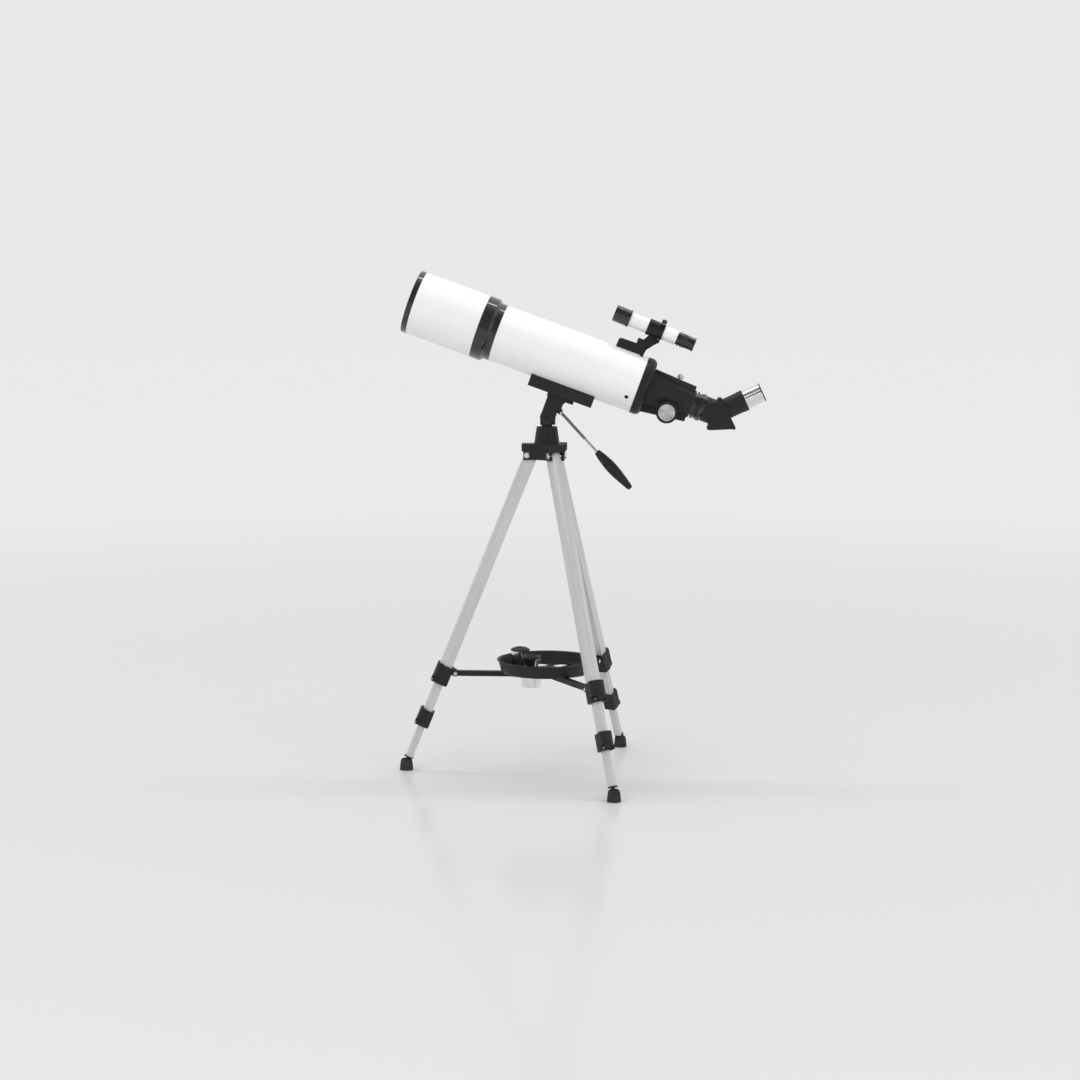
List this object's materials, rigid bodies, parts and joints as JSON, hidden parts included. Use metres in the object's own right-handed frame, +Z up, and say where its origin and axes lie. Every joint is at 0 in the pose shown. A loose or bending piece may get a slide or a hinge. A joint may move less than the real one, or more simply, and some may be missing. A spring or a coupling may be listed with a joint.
{
  "type": "telescope on tripod",
  "caption": "Small refracting telescope with a finder, diagonal and focuser on a folding tripod with a round accessory tray.",
  "frame": {"origin": "on the floor below the pan axis, at the centre of the three feet", "axes": "+Z up; the telescope's front points to -X and its eyepiece to +X; +Y is to the left of the viewing direction"},
  "size_m": [0.5901, 0.4204, 0.8103],
  "materials": {
    "white_tube": "gloss white enamel over aluminium",
    "black_metal": "satin black anodised",
    "black_plastic": "satin black moulding",
    "grey_leg": "light grey satin anodised",
    "chrome": "bright chrome plate",
    "steel": "turned steel",
    "brass": "turned brass",
    "rubber": "matt black rubber",
    "glass": "coated optical glass"
  },
  "bodies": {
    "stand_head": {"hub_crown": "black_plastic", "hub_bolts": "chrome", "column_cone": "black_plastic"},
    "leg_a": {"leg_a_upper_tube": "grey_leg", "leg_a_upper_collar": "black_plastic"},
    "leg_a_clamp_upper": {"leg_a_upper_lever": "black_plastic"},
    "leg_a_middle": {"leg_a_middle_tube": "grey_leg", "leg_a_lower_collar": "black_plastic"},
    "leg_a_clamp_lower": {"leg_a_lower_lever": "black_plastic"},
    "leg_a_bottom": {"leg_a_lower_tube": "grey_leg", "leg_a_ankle_plug": "black_plastic"},
    "leg_a_shoe": {"leg_a_foot": "rubber"},
    "leg_a_strut": {"leg_a_brace": "black_plastic"},
    "leg_b": {"leg_b_upper_tube": "grey_leg", "leg_b_upper_collar": "black_plastic"},
    "leg_b_clamp_upper": {"leg_b_upper_lever": "black_plastic"},
    "leg_b_middle": {"leg_b_middle_tube": "grey_leg", "leg_b_lower_collar": "black_plastic"},
    "leg_b_clamp_lower": {"leg_b_lower_lever": "black_plastic"},
    "leg_b_bottom": {"leg_b_lower_tube": "grey_leg", "leg_b_ankle_plug": "black_plastic"},
    "leg_b_shoe": {"leg_b_foot": "rubber"},
    "leg_b_strut": {"leg_b_brace": "black_plastic"},
    "leg_c": {"leg_c_upper_tube": "grey_leg", "leg_c_upper_collar": "black_plastic"},
    "leg_c_clamp_upper": {"leg_c_upper_lever": "black_plastic"},
    "leg_c_middle": {"leg_c_middle_tube": "grey_leg", "leg_c_lower_collar": "black_plastic"},
    "leg_c_clamp_lower": {"leg_c_lower_lever": "black_plastic"},
    "leg_c_bottom": {"leg_c_lower_tube": "grey_leg", "leg_c_ankle_plug": "black_plastic"},
    "leg_c_shoe": {"leg_c_foot": "rubber"},
    "leg_c_strut": {"leg_c_brace": "black_plastic"},
    "accessory_tray": {"tray": "black_plastic"},
    "tray_eyepiece_1": {"spare_eyepiece_1": "chrome"},
    "tray_eyepiece_2": {"spare_eyepiece_2": "chrome"},
    "pan_unit": {"pan_head": "black_plastic", "tilt_pin": "steel"},
    "optical_tube": {"tilt_block": "black_plastic", "saddle": "black_plastic", "main_tube": "white_tube", "objective_cell": "black_plastic", "objective_lenses": "glass", "focuser_body": "black_plastic", "finder_bracket": "black_plastic", "finder_screws": "black_plastic"},
    "shield": {"dew_shield": "white_tube", "dew_shield_ring": "black_plastic"},
    "handle": {"handle_rod": "steel", "handle_grip": "black_plastic"},
    "focus_draw": {"drawtube": "black_metal"},
    "focus_drive": {"pinion_shaft": "brass", "focus_knobs": "black_plastic"},
    "focus_lock": {"focus_lock_screw": "chrome"},
    "star_diagonal": {"diagonal_housing": "black_plastic", "prism": "glass"},
    "main_eyepiece": {"eyepiece": "chrome"},
    "finder": {"finder_tube": "white_tube", "finder_objective_cell": "black_plastic"},
    "finder_ocular": {"finder_eyepiece": "black_plastic"}
  },
  "joints": [
    {"name": "leg_a_fold", "type": "hinge", "parent": "stand_head", "child": "leg_a", "pos_m": [-0.0315, 0, 0.5177], "axis": [0, -1, 0], "range_deg": [0, 18]},
    {"name": "leg_a_upper_lever_open", "type": "hinge", "parent": "leg_a", "child": "leg_a_clamp_upper", "pos_m": [-0.1866, 0, 0.15305], "axis": [0, -1, 0], "range_deg": [0, 95]},
    {"name": "leg_a_middle_slide", "type": "slide", "parent": "leg_a", "child": "leg_a_middle", "axis": [-0.3746, 0, -0.9272], "range_m": [-0.045, 0.22]},
    {"name": "leg_a_lower_lever_open", "type": "hinge", "parent": "leg_a_middle", "child": "leg_a_clamp_lower", "pos_m": [-0.21375, 0, 0.08183], "axis": [0, -1, 0], "range_deg": [0, 95]},
    {"name": "leg_a_lower_slide", "type": "slide", "parent": "leg_a_middle", "child": "leg_a_bottom", "axis": [-0.3746, 0, -0.9272], "range_m": [-0.052, 0.2]},
    {"name": "leg_a_foot_swivel", "type": "hinge", "parent": "leg_a_bottom", "child": "leg_a_shoe", "pos_m": [-0.23003, 0, 0.0115], "axis": [0, -1, 0], "range_deg": [-44, 1.5]},
    {"name": "leg_a_brace_fold", "type": "hinge", "parent": "leg_a", "child": "leg_a_strut", "pos_m": [-0.14831, 0, 0.16131], "axis": [0, 1, 0], "range_deg": [0, 108.1]},
    {"name": "leg_b_fold", "type": "hinge", "parent": "stand_head", "child": "leg_b", "pos_m": [0.01575, -0.02728, 0.5177], "axis": [0.866, 0.5, 0], "range_deg": [0, 18]},
    {"name": "leg_b_upper_lever_open", "type": "hinge", "parent": "leg_b", "child": "leg_b_clamp_upper", "pos_m": [0.0933, -0.1616, 0.15305], "axis": [0.866, 0.5, 0], "range_deg": [0, 95]},
    {"name": "leg_b_middle_slide", "type": "slide", "parent": "leg_b", "child": "leg_b_middle", "axis": [0.1873, -0.3244, -0.9272], "range_m": [-0.045, 0.22]},
    {"name": "leg_b_lower_lever_open", "type": "hinge", "parent": "leg_b_middle", "child": "leg_b_clamp_lower", "pos_m": [0.10687, -0.18511, 0.08183], "axis": [0.866, 0.5, 0], "range_deg": [0, 95]},
    {"name": "leg_b_lower_slide", "type": "slide", "parent": "leg_b_middle", "child": "leg_b_bottom", "axis": [0.1873, -0.3244, -0.9272], "range_m": [-0.052, 0.2]},
    {"name": "leg_b_foot_swivel", "type": "hinge", "parent": "leg_b_bottom", "child": "leg_b_shoe", "pos_m": [0.11502, -0.19921, 0.0115], "axis": [0.866, 0.5, 0], "range_deg": [-44, 1.5]},
    {"name": "leg_b_brace_fold", "type": "hinge", "parent": "leg_b", "child": "leg_b_strut", "pos_m": [0.07416, -0.12844, 0.16131], "axis": [-0.866, -0.5, 0], "range_deg": [0, 108.1]},
    {"name": "leg_c_fold", "type": "hinge", "parent": "stand_head", "child": "leg_c", "pos_m": [0.01575, 0.02728, 0.5177], "axis": [-0.866, 0.5, 0], "range_deg": [0, 18]},
    {"name": "leg_c_upper_lever_open", "type": "hinge", "parent": "leg_c", "child": "leg_c_clamp_upper", "pos_m": [0.0933, 0.1616, 0.15305], "axis": [-0.866, 0.5, 0], "range_deg": [0, 95]},
    {"name": "leg_c_middle_slide", "type": "slide", "parent": "leg_c", "child": "leg_c_middle", "axis": [0.1873, 0.3244, -0.9272], "range_m": [-0.045, 0.22]},
    {"name": "leg_c_lower_lever_open", "type": "hinge", "parent": "leg_c_middle", "child": "leg_c_clamp_lower", "pos_m": [0.10687, 0.18511, 0.08183], "axis": [-0.866, 0.5, 0], "range_deg": [0, 95]},
    {"name": "leg_c_lower_slide", "type": "slide", "parent": "leg_c_middle", "child": "leg_c_bottom", "axis": [0.1873, 0.3244, -0.9272], "range_m": [-0.052, 0.2]},
    {"name": "leg_c_foot_swivel", "type": "hinge", "parent": "leg_c_bottom", "child": "leg_c_shoe", "pos_m": [0.11502, 0.19921, 0.0115], "axis": [-0.866, 0.5, 0], "range_deg": [-44, 1.5]},
    {"name": "leg_c_brace_fold", "type": "hinge", "parent": "leg_c", "child": "leg_c_strut", "pos_m": [0.07416, 0.12844, 0.16131], "axis": [0.866, -0.5, 0], "range_deg": [0, 108.1]},
    {"name": "tray_lift_off", "type": "slide", "parent": "stand_head", "child": "accessory_tray", "axis": [0.866, 0, 0.5], "range_m": [0, 0.3801]},
    {"name": "spare_eyepiece_1_lift", "type": "slide", "parent": "accessory_tray", "child": "tray_eyepiece_1", "axis": [0, 0, 1], "range_m": [0, 0.045]},
    {"name": "spare_eyepiece_2_lift", "type": "slide", "parent": "accessory_tray", "child": "tray_eyepiece_2", "axis": [0, 0, 1], "range_m": [0, 0.045]},
    {"name": "pan", "type": "hinge", "parent": "stand_head", "child": "pan_unit", "pos_m": [0, 0, 0.552], "axis": [0, 0, 1], "continuous": true},
    {"name": "tilt", "type": "hinge", "parent": "pan_unit", "child": "optical_tube", "pos_m": [0.0015, 0, 0.578], "axis": [0, -1, 0], "range_deg": [-27, 35]},
    {"name": "dew_shield_pull", "type": "slide", "parent": "optical_tube", "child": "shield", "axis": [-0.9397, 0, 0.342], "range_m": [0, 0.06]},
    {"name": "handle_twist", "type": "hinge", "parent": "optical_tube", "child": "handle", "pos_m": [0.02026, 0, 0.58783], "axis": [0.6782, 0, -0.7349], "range_deg": [0, 180]},
    {"name": "focus_travel", "type": "slide", "parent": "optical_tube", "child": "focus_draw", "axis": [0.9397, 0, -0.342], "range_m": [0, 0.06]},
    {"name": "focus_knob_turn", "type": "hinge", "parent": "optical_tube", "child": "focus_drive", "pos_m": [0.19126, 0, 0.5878], "axis": [0, 1, 0], "range_deg": [0, 716.3]},
    {"name": "focus_lock_turn", "type": "hinge", "parent": "optical_tube", "child": "focus_lock", "pos_m": [0.21161, 0, 0.63844], "axis": [0.342, 0, 0.9397], "range_deg": [0, 360]},
    {"name": "diagonal_turn", "type": "hinge", "parent": "focus_draw", "child": "star_diagonal", "pos_m": [0.24533, 0, 0.59425], "axis": [0.9397, 0, -0.342], "continuous": true},
    {"name": "eyepiece_pull", "type": "slide", "parent": "star_diagonal", "child": "main_eyepiece", "axis": [0.9063, 0, 0.4226], "range_m": [0, 0.03]},
    {"name": "finder_aim", "type": "hinge", "parent": "optical_tube", "child": "finder", "pos_m": [0.173, 0, 0.71773], "axis": [0, 1, 0], "range_deg": [-1.2, 1.2]},
    {"name": "finder_focus", "type": "slide", "parent": "finder", "child": "finder_ocular", "axis": [0.9265, 0, -0.3762], "range_m": [-0.003, 0.005]}
  ],
  "couplings": [
    {"joint": "leg_a_brace_fold", "follows": "leg_a_fold", "ratio": 6},
    {"joint": "leg_b_fold", "follows": "leg_a_fold", "ratio": 1},
    {"joint": "leg_b_brace_fold", "follows": "leg_a_fold", "ratio": 6},
    {"joint": "leg_c_fold", "follows": "leg_a_fold", "ratio": 1},
    {"joint": "leg_c_brace_fold", "follows": "leg_a_fold", "ratio": 6},
    {"joint": "tray_lift_off", "follows": "leg_a_fold", "m_per_rad": 1.2096},
    {"joint": "focus_knob_turn", "follows": "focus_travel", "rad_per_m": 208.33}
  ]
}
